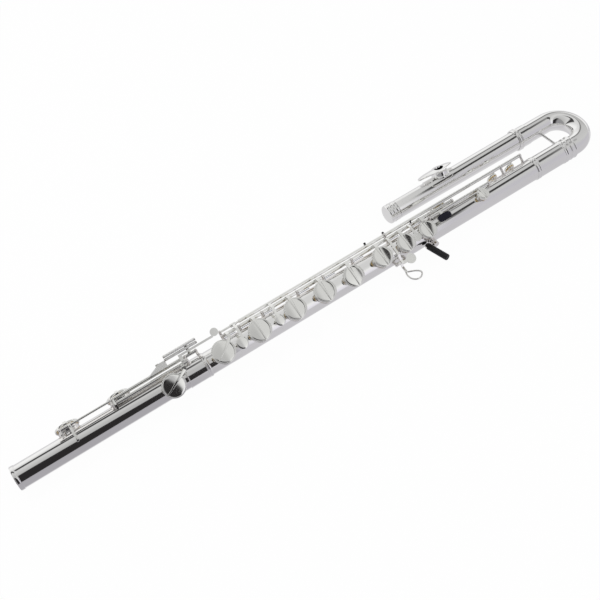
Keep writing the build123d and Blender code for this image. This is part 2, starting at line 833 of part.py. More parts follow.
# Body: the two trill keys. One is a rod through the posts, the other a tube that turns on it
with BuildPart() as trill_e_flat_key:
    steel(body_posts[0], trill_post_end, trill_line)
    collar(trill_e_flat_touch_at, trill_e_flat_touch_at + 8.0, trill_line)
    collar(*between(trill_post_high, trill_post_end), trill_line)
    cup_and_arm("trill_e_flat", trill_line, 0, after("trill_e_flat", 0))
    trill_touch(trill_e_flat_touch_at, 7.0, arm_step=3.5)
finish(trill_e_flat_key.part, "trill_e_flat_key")
pad("trill_e_flat", trill_line, 0)

with BuildPart() as trill_d_key:
    start = body_posts[1] + 4.0
    end = trill_post_high - post_width / 2 - end_play
    hinge_tube(start, end, trill_line)
    cup_and_arm("trill_d", trill_line, 0, after("trill_d", 0))
    trill_touch(trill_d_touch_at, 6.5)
    bore_heads(start, end, trill_line, steel_r + turn_fit)
finish(trill_d_key.part, "trill_d_key")
pad("trill_d", trill_line, 0)

# Body: G sharp lever, with its tail under the key's arms and a wire loop for the little finger
lever_at = lever_post_low + 7.5
lever_tail = (-6.0, 19.0)
lever_elbow = (-24.0, 12.2)
lever_size = (2.2, 3.0)
loop_wire_r = 1.15
loop_root = (-32.7, 14.4)
loop_tip = (-46.7, 20.5)
loop_points = (
    (0, -1.5),
    (-2.2, 6.0),
    (0.4, 13.6),
    (7.2, 17.6),
    (14.4, 16.0),
    (17.4, 11.4),
    (13.6, 6.6),
    (7.4, 3.2),
    (1.2, 0.6),
)

with BuildPart() as g_sharp_lever:
    start, end = between(lever_post_low, lever_post_high)
    hinge_tube(start, end, lever_line)
    limb(station(lever_at), [lever_tail, lever_line, lever_elbow, loop_root], *lever_size)
    way = Vector(0, loop_tip[0] - loop_root[0], loop_tip[1] - loop_root[1]).normalized()
    across = ray(90) * way.Y + ray(0) * way.Z
    loop_plane = Plane(origin=spot(lever_at, loop_root), x_dir=(1, 0, 0), z_dir=Vector(1, 0, 0).cross(across))
    with BuildLine(loop_plane) as loop_path:
        Spline(*loop_points)
    with BuildSketch(Plane(origin=loop_path.line @ 0, z_dir=loop_path.line % 0)):
        Circle(loop_wire_r)
    sweep(path=loop_path.line)
    bore_heads(start, end, lever_line, steel_r + turn_fit)
finish(g_sharp_lever.part, "g_sharp_lever")

# Body: crutch for the hand, a round rod that turns on its holder's pin
holder_at = after("b_flat", 4.0)
holder_r = 4.4
holder_end_y = -26.5
holder_base = 1.2
crutch_at = holder_at - 11.0
crutch_pivot_y = -21.6
crutch_r = 4.6
crutch_lean = 12.5
crutch_end_radius = 1.2
crutch_pin_r = 2.0


def beside(at, y, z):
    """Point at a station, at a place (y, z) from the body's axis in the part's frame."""
    return Vector(foot_end_x + at, body_y + y, axis_z + z)


with BuildPart() as crutch_holder:
    strut(beside(holder_at, -tube_r / 2, 0), beside(holder_at, holder_end_y, 0), holder_r)
    base_end = beside(holder_at, -tube_r - holder_base, 0)
    strut(beside(holder_at, -tube_r / 2, 0), base_end, holder_r + 2 * base_lip)
    with BuildSketch(station(holder_at - 2 * holder_r)):
        Circle(tube_r)
    extrude(amount=4 * holder_r, mode=Mode.SUBTRACT)
    with BuildSketch(face_plane(cups["b_flat"][0], cups["b_flat"][2], 0)):
        Circle(chimney_r("b_flat") + joint_gap)
    extrude(amount=rim_of("b_flat"), mode=Mode.SUBTRACT)
    pin_end = crutch_at - crutch_r + end_play
    strut(beside(holder_at, crutch_pivot_y, 0), beside(pin_end, crutch_pivot_y, 0), crutch_pin_r)
finish(crutch_holder.part, "crutch_holder")

with BuildPart() as crutch:
    root = beside(crutch_at, crutch_pivot_y, 0)
    lean = radians(crutch_lean)
    corner = crutch_end_radius * (1 - cos(lean)) + (crutch_r - crutch_end_radius) * sin(lean)
    length = (crutch_reach + crutch_pivot_y - corner) / cos(lean)
    tip = root + Vector(sin(lean), -cos(lean), 0) * length
    strut(root, tip, crutch_r)
    fillet(crutch.edges().sort_by(Axis.Y)[0], crutch_end_radius)
    with Locations(root):
        Sphere(crutch_r)
    side = crutch_at - 2 * crutch_r
    with BuildSketch(Plane(origin=beside(side, crutch_pivot_y, 0), z_dir=(1, 0, 0))):
        Circle(crutch_pin_r + turn_fit)
    extrude(amount=4 * crutch_r, mode=Mode.SUBTRACT)
finish(crutch.part, "crutch")

# Bend: tuning tenon, bent tube, ferrules and brace
tenon_start = body_tube_end + slide_gap + joint_gap
with BuildPart() as tuning_tenon:
    tube(station(tenon_start), tube_r, bend_tube_r, ferrule_start + bend_ferrule_length - tenon_start)
finish(tuning_tenon.part, "tuning_tenon")

leg_end = head_socket_start + head_tenon_insert + joint_gap
with BuildPart() as bend_tube:
    tube(station(ferrule_start), bend_tube_r, bend_tube_r - tube_wall, bend_start - ferrule_start)
    tube(head_station(leg_end), bend_tube_r, bend_tube_r - tube_wall, bend_start - leg_end)
    with BuildSketch(head_station(bend_start)):
        Circle(bend_tube_r)
        Circle(bend_tube_r - tube_wall, mode=Mode.SUBTRACT)
    turn_centre = (foot_end_x + bend_start, body_y + axis_gap / 2, axis_z)
    revolve(axis=Axis(turn_centre, (0, 0, -1)), revolution_arc=180)
finish(bend_tube.part, "bend_tube")

head_seat_r = head_r + slide_fit
with BuildPart() as bend_ferrules:
    tube(station(ferrule_start), ring_r, tube_r, bend_ferrule_length)
    tube(head_station(head_socket_start), bend_tube_r + sleeve_wall, head_seat_r, leg_end - head_socket_start)
    tube(head_station(leg_end), bend_tube_r + sleeve_wall, bend_tube_r,
         head_socket_start + head_socket_length - leg_end)
    tube(head_station(head_socket_start), ring_r, bend_tube_r + sleeve_wall, ring_length)
finish(bend_ferrules.part, "bend_ferrules")

with BuildPart() as bend_brace:
    low = beside(brace_at, bend_tube_r, 0)
    high = beside(brace_at, axis_gap - bend_tube_r + 1, 0)
    strut(low, high, brace_r)
    strut(low, beside(brace_at, ring_r + brace_foot_height, 0), brace_foot_r)
    strut(beside(brace_at, axis_gap - bend_tube_r - brace_foot_height, 0), high, brace_foot_r)
    with BuildSketch(station(brace_at - 2 * brace_foot_r)):
        Circle(ring_r)
    extrude(amount=4 * brace_foot_r, mode=Mode.SUBTRACT)
    with BuildSketch(head_station(brace_at - 2 * brace_foot_r)):
        Circle(bend_tube_r)
    extrude(amount=4 * brace_foot_r, mode=Mode.SUBTRACT)
finish(bend_brace.part, "bend_brace")


# Head tube: a slight cone with a straight end that turns in the bend's socket
def head_radius(at):
    """Outer radius of the head tube at a station."""
    share = min(1, (at - head_tube_start) / (cone_end - head_tube_start))
    return crown_end_r + (head_r - crown_end_r) * share


def head_cone(shrink, mode=Mode.ADD):
    """Solid of the head tube's outside, or of its bore, from its crown end to its open end."""
    cut = Plane(origin=(foot_end_x, head_y, axis_z), x_dir=(1, 0, 0), z_dir=(0, 0, 1))
    with BuildSketch(cut) as profile:
        with BuildLine():
            Polyline(
                (head_tube_start, 0),
                (head_tube_start, crown_end_r - shrink),
                (cone_end, head_r - shrink),
                (head_tube_end, head_r - shrink),
                (head_tube_end, 0),
                close=True,
            )
        make_face()
    revolve(profile.sketch, axis=Axis((foot_end_x, head_y, axis_z), (1, 0, 0)), mode=mode)


def lip_plane(angle, height):
    """Plane square to a direction of the head tube, at a height from its axis."""
    way = Vector(0, cos(radians(angle)), sin(radians(angle)))
    origin = Vector(foot_end_x + embouchure_at, head_y, axis_z) + way * height
    return Plane(origin=origin, x_dir=(1, 0, 0), z_dir=way)


def cut_embouchure():
    """Cuts the oval blow hole."""
    with BuildSketch(lip_plane(lip_angle, 0)) as profile:
        Ellipse(hole_length / 2, hole_width / 2)
    extrude(profile.sketch, amount=2 * plate_r, mode=Mode.SUBTRACT)


cone_end = head_socket_start - head_tenon_length + head_tenon_insert
head_tube_end = head_socket_start + head_tenon_insert
with BuildPart() as head_tube:
    head_cone(0)
    head_cone(tube_wall, Mode.SUBTRACT)
    cut_embouchure()
finish(head_tube.part, "head_tube")

# Head tube: riser with its saddle, and the lip plate on it
plate_middle_at = embouchure_at - plate_middle_set_back
saddle_r = head_radius(embouchure_at) + saddle_wall
with BuildPart() as riser:
    with BuildSketch(head_station(plate_middle_at - saddle_length / 2)):
        Circle(saddle_r)
    extrude(amount=saddle_length)
    with BuildSketch(lip_plane(lip_angle, 0)):
        with Locations((plate_middle_at - embouchure_at, 0)):
            SlotOverall(saddle_length, saddle_width)
    extrude(amount=plate_r, mode=Mode.INTERSECT)
    with BuildSketch(lip_plane(lip_angle, head_radius(embouchure_at) - 2)):
        Circle(riser_base_r)
    with BuildSketch(lip_plane(lip_angle, plate_r + 1)):
        Circle(riser_top_r)
    loft()
    with BuildSketch(head_station(head_tube_start)):
        Circle(2 * plate_r)
        Circle(plate_r, mode=Mode.SUBTRACT)
    extrude(amount=head_socket_start - head_tube_start, mode=Mode.SUBTRACT)
    head_cone(0, Mode.SUBTRACT)
    cut_embouchure()
finish(riser.part, "embouchure_riser")

with BuildPart() as lip_plate:
    tube(head_station(plate_middle_at - plate_length / 2), plate_r + plate_wall, plate_r, plate_length)
    with BuildSketch(lip_plane(plate_middle_angle, 0)):
        with Locations((plate_middle_at - embouchure_at, 0)):
            Ellipse(plate_length / 2, plate_width / 2)
    extrude(amount=2 * plate_r, mode=Mode.INTERSECT)
    cut_embouchure()
finish(lip_plate.part, "lip_plate")

# Stopper: cork between two discs on a screw, and the crown that draws it
stopper_face = embouchure_at - stopper_set_back
stopper_start = stopper_face - 2 * plate_disc - cork_length
cork_r = head_radius(stopper_start) - tube_wall - cork_fit
crown_end = head_tube_start - seat_gap
screw_start = crown_end - screw_reach_in_crown

with BuildPart() as stopper_cork:
    tube(head_station(stopper_start + plate_disc), cork_r, stopper_screw_r, cork_length)
finish(stopper_cork.part, "stopper_cork")

with BuildPart() as stopper_screw:
    tube(head_station(screw_start), stopper_screw_r, 0, stopper_face - screw_start)
    for start in (stopper_start, stopper_face - plate_disc):
        tube(head_station(start), cork_r, 0, plate_disc)
finish(stopper_screw.part, "stopper_screw")

with BuildPart() as crown:
    crown_r = crown_end_r + crown_step
    tube(head_station(crown_end - crown_length), crown_r, 0, crown_length)
    fillet(crown.faces().sort_by(Axis.X)[0].edges(), crown_dome)
    for set_back in crown_groove_set_backs:
        with BuildSketch(head_station(crown_end - set_back)):
            Circle(crown_r)
            Circle(crown_r - crown_groove, mode=Mode.SUBTRACT)
        extrude(amount=crown_groove_width, mode=Mode.SUBTRACT)
    with BuildSketch(head_station(screw_start - plug_gap)):
        Circle(stopper_screw_r + turn_fit)
    extrude(amount=crown_end - screw_start + plug_gap, mode=Mode.SUBTRACT)
finish(crown.part, "crown")
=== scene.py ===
"""Bass flute, laid flat: its finishes and its visible pieces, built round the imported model.

Lengths are in metres. Profiles, places across the body, and values whose names end in _r or _mm are
in millimetres.
"""
import json
from math import asin, cos, pi, radians, sin

import bmesh
import bpy
from mathutils import Matrix, Vector


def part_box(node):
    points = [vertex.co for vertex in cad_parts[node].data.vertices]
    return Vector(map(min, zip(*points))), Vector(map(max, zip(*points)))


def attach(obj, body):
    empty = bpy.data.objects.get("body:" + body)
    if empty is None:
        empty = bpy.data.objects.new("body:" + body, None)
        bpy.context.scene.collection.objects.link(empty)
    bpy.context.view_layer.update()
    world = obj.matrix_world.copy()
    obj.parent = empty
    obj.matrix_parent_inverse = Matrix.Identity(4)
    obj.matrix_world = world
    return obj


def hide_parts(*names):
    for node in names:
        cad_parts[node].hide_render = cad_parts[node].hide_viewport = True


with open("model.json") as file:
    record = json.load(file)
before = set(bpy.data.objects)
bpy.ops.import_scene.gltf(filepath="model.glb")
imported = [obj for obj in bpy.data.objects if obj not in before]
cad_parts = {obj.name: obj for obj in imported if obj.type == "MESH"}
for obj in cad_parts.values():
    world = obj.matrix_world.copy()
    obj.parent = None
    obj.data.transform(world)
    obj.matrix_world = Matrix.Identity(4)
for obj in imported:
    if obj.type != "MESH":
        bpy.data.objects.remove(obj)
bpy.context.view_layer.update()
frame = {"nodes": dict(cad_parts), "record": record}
nodes = frame["nodes"]
scene = bpy.context.scene

# Viewpoint: over the player's side of the foot joint, looking down along the body with a normal
# lens. Its place is given from the foot's open end, on the body's axis.
foot_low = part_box("foot_tube")[0]
body_low, body_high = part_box("body_tube")
axis_y = (body_low.y + body_high.y) / 2
axis_z = (body_low.z + body_high.z) / 2
foot_end = Vector((foot_low.x, axis_y, axis_z))
camera_from_foot_end = Vector((0.1157, -0.6744, 0.9275))
camera_turn = (38.651, 7.030, -33.395)

camera = bpy.data.objects.new("camera", bpy.data.cameras.new("camera"))
camera.data.lens = 52.37
camera.data.sensor_width = 36
camera.data.clip_end = 20
camera.location = foot_end + camera_from_foot_end
camera.rotation_euler = [radians(angle) for angle in camera_turn]
scene.collection.objects.link(camera)
scene.camera = camera
scene.view_settings.view_transform = "Standard"


class Field:
    """A number that varies over a surface. Arithmetic on it adds Math nodes to its material."""

    def __init__(self, graph, socket):
        self.graph = graph
        self.socket = socket

    def math(self, operation, *values):
        return self.graph.node("ShaderNodeMath", {"operation": operation}, values)

    def __add__(self, other):
        return self.math("ADD", self, other)

    def __sub__(self, other):
        return self.math("SUBTRACT", self, other)

    def __rsub__(self, other):
        return self.math("SUBTRACT", other, self)

    def __mul__(self, other):
        return self.math("MULTIPLY", self, other)

    __radd__ = __add__
    __rmul__ = __mul__

    def step(self, start, end):
        """0 below start, 1 above end and smooth between them."""
        settings = {"interpolation_type": "SMOOTHSTEP"}
        return self.graph.node("ShaderNodeMapRange", settings, (self, start, end, 0.0, 1.0))

    def step_from(self, start, width):
        """0 below a start that may vary, 1 above start + width."""
        return ((self - start) * (1 / width)).step(0.0, 1.0)

    def above(self, other):
        return self.math("GREATER_THAN", self, other)

    def largest(self, other):
        return self.math("MAXIMUM", self, other)


class Graph:
    """Nodes of one material or of the world, added one at a time."""

    def __init__(self, tree):
        self.tree = tree

    def node(self, kind, settings=None, values=(), output=0):
        """Adds a node. Its inputs are given in order or by name, and one output is handed back."""
        made = self.tree.nodes.new(kind)
        for name, value in (settings or {}).items():
            if name == "stops":
                ramp = made.color_ramp
                while len(ramp.elements) < len(value):
                    ramp.elements.new(1)
                for element, (place, colour) in zip(ramp.elements, value):
                    element.position = place
                    element.color = (*colour, 1)
            else:
                setattr(made, name, value)
        pairs = values.items() if isinstance(values, dict) else enumerate(values)
        for key, value in pairs:
            if isinstance(value, Field):
                self.tree.links.new(value.socket, made.inputs[key])
            elif value is not None:
                made.inputs[key].default_value = value
        return Field(self, made.outputs[output])

    def mix(self, factor, first, second):
        """Colour that goes from the first to the second as the factor goes from 0 to 1."""
        factor_input, first_colour, second_colour, colour_output = 0, 6, 7, 2
        values = {factor_input: factor, first_colour: first, second_colour: second}
        return self.node("ShaderNodeMix", {"data_type": "RGBA"}, values, colour_output)

    def along(self, axis, place):
        """One coordinate of a place or direction."""
        return self.node("ShaderNodeSeparateXYZ", None, (place,), axis)


class Finish(Graph):
    """A material: one Principled shader and what feeds it."""

    def __init__(self, name, **fixed):
        self.material = bpy.data.materials.new(name)
        self.material.use_nodes = True
        super().__init__(self.material.node_tree)
        self.shader = self.tree.nodes["Principled BSDF"]
        for socket, value in fixed.items():
            self.shader.inputs[socket.replace("_", " ")].default_value = value

    def feed(self, socket, field):
        self.tree.links.new(field.socket, self.shader.inputs[socket])

    def place(self, scale=(1, 1, 1)):
        """Object coordinates, stretched."""
        coordinates = self.node("ShaderNodeTexCoord", output="Object")
        return self.node("ShaderNodeMapping", None, {"Vector": coordinates, "Scale": scale})

    def noise(self, scale, detail=3.0, stretch=(1, 1, 1)):
        values = {"Vector": self.place(stretch), "Scale": scale, "Detail": detail}
        return self.node("ShaderNodeTexNoise", None, values)

    def bump(self, height, strength, distance):
        values = {"Strength": strength, "Distance": distance, "Height": height}
        self.feed("Normal", self.node("ShaderNodeBump", None, values))


# Studio: a white tent round the flute, with black flags that put the dark stripes into the silver.
# The tent is the world's own light by direction: the turn about the flute's length (0 towards the
# head tube, 90 up, 180 towards the player) and the lean along it.
world = bpy.data.worlds.new("tent")
world.use_nodes = True
scene.world = world
tent = Graph(world.node_tree)
background = world.node_tree.nodes["Background"]
direction = tent.node("ShaderNodeTexCoord", output="Generated")
lean = tent.along("X", direction)
direction_y = tent.along("Y", direction)
direction_z = tent.along("Z", direction)
turn = direction_z.math("ARCTAN2", direction_z, direction_y) * (180 / pi)
turn = turn + (0 - turn).above(90) * 360


def sheet_tones(*stops):
    """Tone of the tent round a full turn, from pairs of a turn and the brightness, from 0 to 255,
    that it gives the silver. The player's lower side is a little lilac."""
    silver_tone = 0.89
    screen_gamma = 2.2
    lilac_from, lilac_to = 145, 262
    colours = []
    for at, brightness in stops:
        level = (brightness / 255) ** screen_gamma / silver_tone
        lilac = 0.035 if lilac_from < at < lilac_to else 0.0
        colours.append((at / 360, (level * (1 - lilac / 2), level * (1 - lilac), level * (1 + lilac))))
    return tent.node("ShaderNodeValToRGB", {"stops": colours}, (turn * (1 / 360),))


def near(centre, half_width, soft):
    """1 where the turn is near a centre, which may move with the lean."""
    away = (turn - centre).math("ABSOLUTE", turn - centre)
    return 1 - away.step(half_width - soft, half_width + soft)


foot_sheet = sheet_tones(
    (0, 240), (25, 238), (45, 215), (72, 204), (88, 194), (108, 180), (180, 176),
    (200, 172), (217, 167), (230, 156), (246, 154), (258, 205), (270, 240), (335, 238))
middle_sheet = sheet_tones(
    (0, 236), (45, 214), (60, 206), (90, 205), (112, 205), (124, 214), (138, 233), (160, 231),
    (176, 220), (190, 207), (208, 192), (230, 186), (252, 190), (268, 205), (300, 225))
bend_sheet = sheet_tones(
    (0, 240), (30, 236), (40, 205), (47, 165), (56, 190), (80, 192), (115, 196),
    (150, 190), (200, 194), (225, 203), (255, 215), (265, 238), (300, 232), (335, 240))
tone = tent.mix(lean.step(0.13, 0.22), foot_sheet, middle_sheet)
tone = tent.mix(lean.step(0.38, 0.45), tone, bend_sheet)

# Flags: a wide one over the player's side of the foot, a narrow one behind it, a thin rod over
# the bend's end, and the grey seam of the tent's top. Their edges are turns in degrees that shift
# with the lean, and the last factor of each is how black it is.
foot_lean = lean.largest(-0.08)
wide_flag = turn.step_from(foot_lean * 100 + 119, 6) * (1 - turn.step(176, 187))
wide_flag = wide_flag * (1 - lean.step(0.15, 0.19)) * (lean.step(-0.40, -0.12) * 0.6 + 0.4)
narrow_flag = near(foot_lean * 60 + 62.5, 8.5, 3.5) * (1 - lean.step(0.12, 0.17)) * 0.95
rod_span = lean.step(0.417, 0.426) * (1 - lean.step(0.54, 0.60))
rod_flag = near(lean * -168 + 183, 11.0, 3.5) * rod_span * 0.97
end_span = lean.step(0.425, 0.435) * (1 - lean.step(0.455, 0.465))
rod_end = near(113, 17, 5) * end_span * 0.85
seam = near(lean * -130 + 114, 6.5, 3.5) * lean.step(0.43, 0.46) * 0.72
dark = wide_flag.largest(narrow_flag).largest(rod_flag).largest(rod_end).largest(seam)
flag_black = (0.026, 0.024, 0.025, 1)
white = (1, 1, 1, 1)
tone = tent.mix(dark, tone, flag_black)
seen = tent.node("ShaderNodeLightPath", output="Is Camera Ray")
tone = tent.mix(seen, tone, white)
world.node_tree.links.new(tone.socket, background.inputs["Color"])
background.inputs["Strength"].default_value = 1.0


def lamp(name, place, target, size, watts):
    """Square soft light that faces a point."""
    made = bpy.data.objects.new(name, bpy.data.lights.new(name, "AREA"))
    made.data.size = size
    made.data.energy = watts
    made.location = place
    made.rotation_euler = (Vector(target) - Vector(place)).to_track_quat("-Z", "Y").to_euler()
    made.visible_glossy = False
    scene.collection.objects.link(made)


lamp("key_light", (-0.5, 0.9, 1.5), (0, 0, 0), 0.8, 10)
lamp("fill_light", (0.6, -1.2, 1.2), (0, 0, 0), 1.0, 6)

# Paper: the flute lies on a wide white sheet, a hair above it. To the eye the sheet glows nearly
# white and takes the shadow. In the silver it shows painted shade: greys painted into its glow stand
# in for the flute's own shade on it, and change along the body (x) and away from it (y).
paper_half = 6
paper_drop = 0.0005
paper_glow = 0.97
floor_mesh = bpy.data.meshes.new("floor")
sweep = bmesh.new()
bmesh.ops.create_grid(sweep, x_segments=1, y_segments=1, size=paper_half)
sweep.to_mesh(floor_mesh)
floor = bpy.data.objects.new("floor", floor_mesh)
floor.location.z = -paper_drop
scene.collection.objects.link(floor)
paper = Finish("white_paper", Base_Color=(0.9, 0.9, 0.9, 1), Roughness=0.9)
seen = paper.node("ShaderNodeLightPath", output="Is Camera Ray")
in_silver = paper.node("ShaderNodeLightPath", output="Is Glossy Ray")
through_glass = paper.node("ShaderNodeLightPath", output="Is Transmission Ray")
paper_place = paper.node("ShaderNodeTexCoord", output="Object")
paper_x = paper.along("X", paper_place)
paper_y = paper.along("Y", paper_place)
beside = (paper_y - axis_y).math("ABSOLUTE", paper_y - axis_y)
# Painted shade: the greys that the sheet glows with in the silver, near the body and beside it, in place
# of real shade.
foot_near_painted_shade, foot_beside_painted_shade = (0.84, 0.83, 0.85, 1), (0.435, 0.424, 0.455, 1)
middle_near_painted_shade, middle_beside_painted_shade = (0.72, 0.715, 0.73, 1), (0.60, 0.59, 0.618, 1)
head_side_painted_shade = (0.73, 0.725, 0.74, 1)
foot_shade, middle_shade = (0.0110, 0.0200), (0.0080, 0.0185)
foot_reach = (foot_end.x + 0.22, foot_end.x + 0.34)
body_reach = (0.012, 0.040)
foot_painted_shade = paper.mix(beside.step(*foot_shade), foot_near_painted_shade, foot_beside_painted_shade)
middle_painted_shade = paper.mix(beside.step(*middle_shade), middle_near_painted_shade, middle_beside_painted_shade)
painted_shade_in_silver = paper.mix(paper_x.step(*foot_reach), foot_painted_shade, middle_painted_shade)
painted_shade_in_silver = paper.mix(paper_y.step(*body_reach), painted_shade_in_silver, head_side_painted_shade)
white_or_painted_shade = paper.mix(seen, painted_shade_in_silver, white)
glow = paper.node("ShaderNodeEmission", None, {"Color": white_or_painted_shade, "Strength": 1.0})
shaded = Field(paper, paper.shader.outputs[0])
# In glossy and transmission rays the sheet is all glow, so the silver sees only the painted shade.
glow_share = seen * paper_glow + in_silver + through_glass
paper_out = paper.node("ShaderNodeMixShader", None, (glow_share, shaded, glow))
paper.tree.links.new(paper_out.socket, paper.tree.nodes["Material Output"].inputs["Surface"])
floor_mesh.materials.append(paper.material)


# Finishes: silver plate all over, steel rods and springs, brass screws, pads of thin skin over
# felt, black inlay and crutch, and cork. Each node gets the one that its record's slot names.
def silver(name, colour, roughness, grain):
    """Silver plate: faint clouds in its tone, polishing haze and fine wipe marks along the flute."""
    made = Finish(name, Metallic=1.0)
    clouds = made.noise(9.0, 4.0)
    haze = made.noise(90.0, 1.0, (0.2, 1, 1))
    wipes = made.noise(420.0, 1.0, (0.04, 1, 1))
    darker = tuple(channel * 0.97 for channel in colour)
    made.feed("Base Color", made.mix(clouds.step(0.35, 0.7), (*colour, 1), (*darker, 1)))
    made.feed("Roughness", clouds.step(0.4, 0.8) * 0.02 + wipes.step(0.45, 0.75) * 0.02 + roughness)
    made.bump(haze, grain, 0.00005)
    return made.material


tube_silver = silver("tube_silver", (0.90, 0.897, 0.885), 0.05, 0.02)
fitting_silver = silver("fitting_silver", (0.88, 0.86, 0.84), 0.08, 0.03)
key_silver = silver("key_silver", (0.90, 0.90, 0.87), 0.07, 0.03)
satin_silver = silver("satin_silver", (0.95, 0.95, 0.93), 0.34, 0.02)
steel = silver("steel_rod", (0.62, 0.61, 0.60), 0.16, 0.05)
blued = silver("blued_spring", (0.10, 0.12, 0.20), 0.22, 0.02)
brass = silver("screw_brass", (0.74, 0.62, 0.36), 0.22, 0.05)


def skin():
    """Pad skin: thin cream membrane over felt, a little yellow, with fine creases."""
    made = Finish("pad_skin", Roughness=0.42, Coat_Weight=0.25)
    blotch = made.noise(160.0, 4.0)
    creases = made.noise(700.0, 6.0)
    cream, tan = (0.97, 0.75, 0.36, 1), (0.88, 0.60, 0.22, 1)
    made.feed("Base Color", made.mix(blotch.step(0.3, 0.75), cream, tan))
    made.bump(creases, 0.25, 0.0004)
    return made.material


pad_skin = skin()


def black(name, colour, roughness):
    """Black moulded or lacquered piece, with faint wear in its gloss."""
    made = Finish(name, Coat_Weight=0.1, Specular_IOR_Level=0.3)
    wear = made.noise(240.0, 5.0)
    worn = tuple(channel * 1.8 for channel in colour)
    made.feed("Base Color", made.mix(wear, (*colour, 1), (*worn, 1)))
    made.feed("Roughness", wear.step(0.3, 0.8) * 0.12 + roughness)
    made.bump(wear, 0.05, 0.0002)
    return made.material


inlay_black = black("inlay_black", (0.003, 0.003, 0.009), 0.35)
crutch_black = black("crutch_black", (0.006, 0.006, 0.007), 0.42)


def natural_cork():
    """Cork: tan grain with dark pits."""
    made = Finish("cork", Roughness=0.8)
    grain = made.noise(420.0, 6.0)
    pits = made.noise(1300.0, 2.0)
    tan = made.mix(grain, (0.58, 0.38, 0.20, 1), (0.72, 0.52, 0.32, 1))
    made.feed("Base Color", made.mix(pits.step(0.60, 0.68), tan, (0.20, 0.11, 0.06, 1)))
    made.bump(pits, 0.5, 0.0006)
    return made.material


cork = natural_cork()

by_slot = {
    "tube_silver": tube_silver,
    "lip_silver": tube_silver,
    "crown_silver": tube_silver,
    "fitting_silver": fitting_silver,
    "key_silver": key_silver,
    "roller_silver": satin_silver,
    "steel_rod": steel,
    "blued_spring": blued,
    "pad_skin": pad_skin,
    "cork": cork,
    "screw_metal": brass,
    "black_inlay": inlay_black,
    "crutch_black": crutch_black,
}
for subpart in frame["record"]["subparts"]:
    piece = nodes[subpart["node"]]
    piece.data.materials.clear()
    piece.data.materials.append(by_slot[subpart["material_slot"]])

# Key cups: spun silver cups with a low crown, a turned bead near the edge and a rounded rim. Each
# is soft soldered under its key's pointed arm and holds the pad, whose box gives its place. The
# way that it faces is a turn in degrees round the body.
key_tilt = 35.0
cup_facing = {
    "low_c": 107, "low_c_sharp": 107, "e_flat": -6, "d": 8, "e": 8, "f": 8, "f_sharp": 8, "g_sharp": 0,
    "g": 8, "a": 8, "b_flat": 8, "thumb": 107, "c": 20, "trill_d": 112, "trill_e_flat": 112,
}
pad_inset = 0.0010
pad_half = 0.0013
large_cup_r = 10
cup_flange_mm = 0.7
rim_width_mm = 1.9
rim_top_mm = 4.34
large_crown_mm, small_crown_mm = 0.55, 0.8
sharp_angle = radians(38)


def ray(angle):
    """Direction across the body, turned from the keys' way towards the hinge rods."""
    return Vector((0, sin(radians(angle - key_tilt)), cos(radians(angle - key_tilt))))


def add_piece(name, shape, body, material, rounding=0.0, segments=3):
    """Finished piece from a bmesh, smooth, with its edges rounded when a rounding is given, that rides on
    a body.
    """
    bmesh.ops.remove_doubles(shape, verts=shape.verts[:], dist=1e-7)
    bmesh.ops.recalc_face_normals(shape, faces=shape.faces[:])
    for face in shape.faces:
        face.smooth = True
    mesh = bpy.data.meshes.new(name)
    shape.to_mesh(mesh)
    shape.free()
    mesh.set_sharp_from_angle(angle=sharp_angle)
    mesh.materials.append(material)
    made = bpy.data.objects.new(name, mesh)
    scene.collection.objects.link(made)
    if rounding:
        edges = made.modifiers.new("rounded_edges", "BEVEL")
        edges.width = rounding
        edges.segments = segments
        edges.limit_method = "ANGLE"
        edges.angle_limit = sharp_angle
        edges.harden_normals = True
    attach(made, body)
    return made


def lathe(shape, origin, axis, profile, steps=72):
    """Turns a profile of (radius, height) round an axis through an origin, closed at the axis."""
    across = axis.orthogonal().normalized()
    ring = [shape.verts.new(origin + across * radius + axis * height) for radius, height in profile]
    edges = [shape.edges.new((first, second)) for first, second in zip(ring, ring[1:])]
    if profile[0][0] > 0 and profile[-1][0] > 0:
        edges.append(shape.edges.new((ring[-1], ring[0])))
    bmesh.ops.spin(shape, geom=ring + edges, cent=origin, axis=axis, angle=2 * pi, steps=steps,
                   use_merge=True)


def millimetres(profile):
    """A profile that was given in millimetres, in metres."""
    return [(radius / 1000, height / 1000) for radius, height in profile]


def body_of(node):
    """Body that a node belongs to."""
    bodies = frame["record"]["behaviour"]["bodies"]
    return next(body for body, held in bodies.items() if node in held)


cup_places = {}
for key, angle in cup_facing.items():
    low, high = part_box(key + "_pad")
    facing = ray(angle)
    centre = (low + high) / 2
    mouth = centre - facing * pad_half
    radius = ((high.x - low.x) / 2 + pad_inset) * 1000
    large = radius > large_cup_r
    radius += cup_flange_mm if large else 0
    cup_places[key] = (mouth, facing, radius)
    crown = large_crown_mm if large else small_crown_mm
    profile = [(0, 3.1), (radius - 0.5, 3.1), (radius - 0.5, 1.0), (radius + 0.15, 0.85),
               (radius + 0.18, 3.2), (radius - 0.02, 3.65), (radius - 0.4, 3.92), (radius - 0.9, 4.02),
               (radius - 1.25, 3.93), (radius - 1.5, 4.2), (radius - rim_width_mm, rim_top_mm)]
    crown_r = radius - rim_width_mm
    profile += [(crown_r * share, rim_top_mm + crown * (1 - share ** 2))
                for share in (0.85, 0.68, 0.5, 0.32, 0.15, 0)]
    cup = bmesh.new()
    lathe(cup, mouth, facing, millimetres(profile))
    add_piece(key + "_cup_cap", cup, body_of(key + "_key"), key_silver)

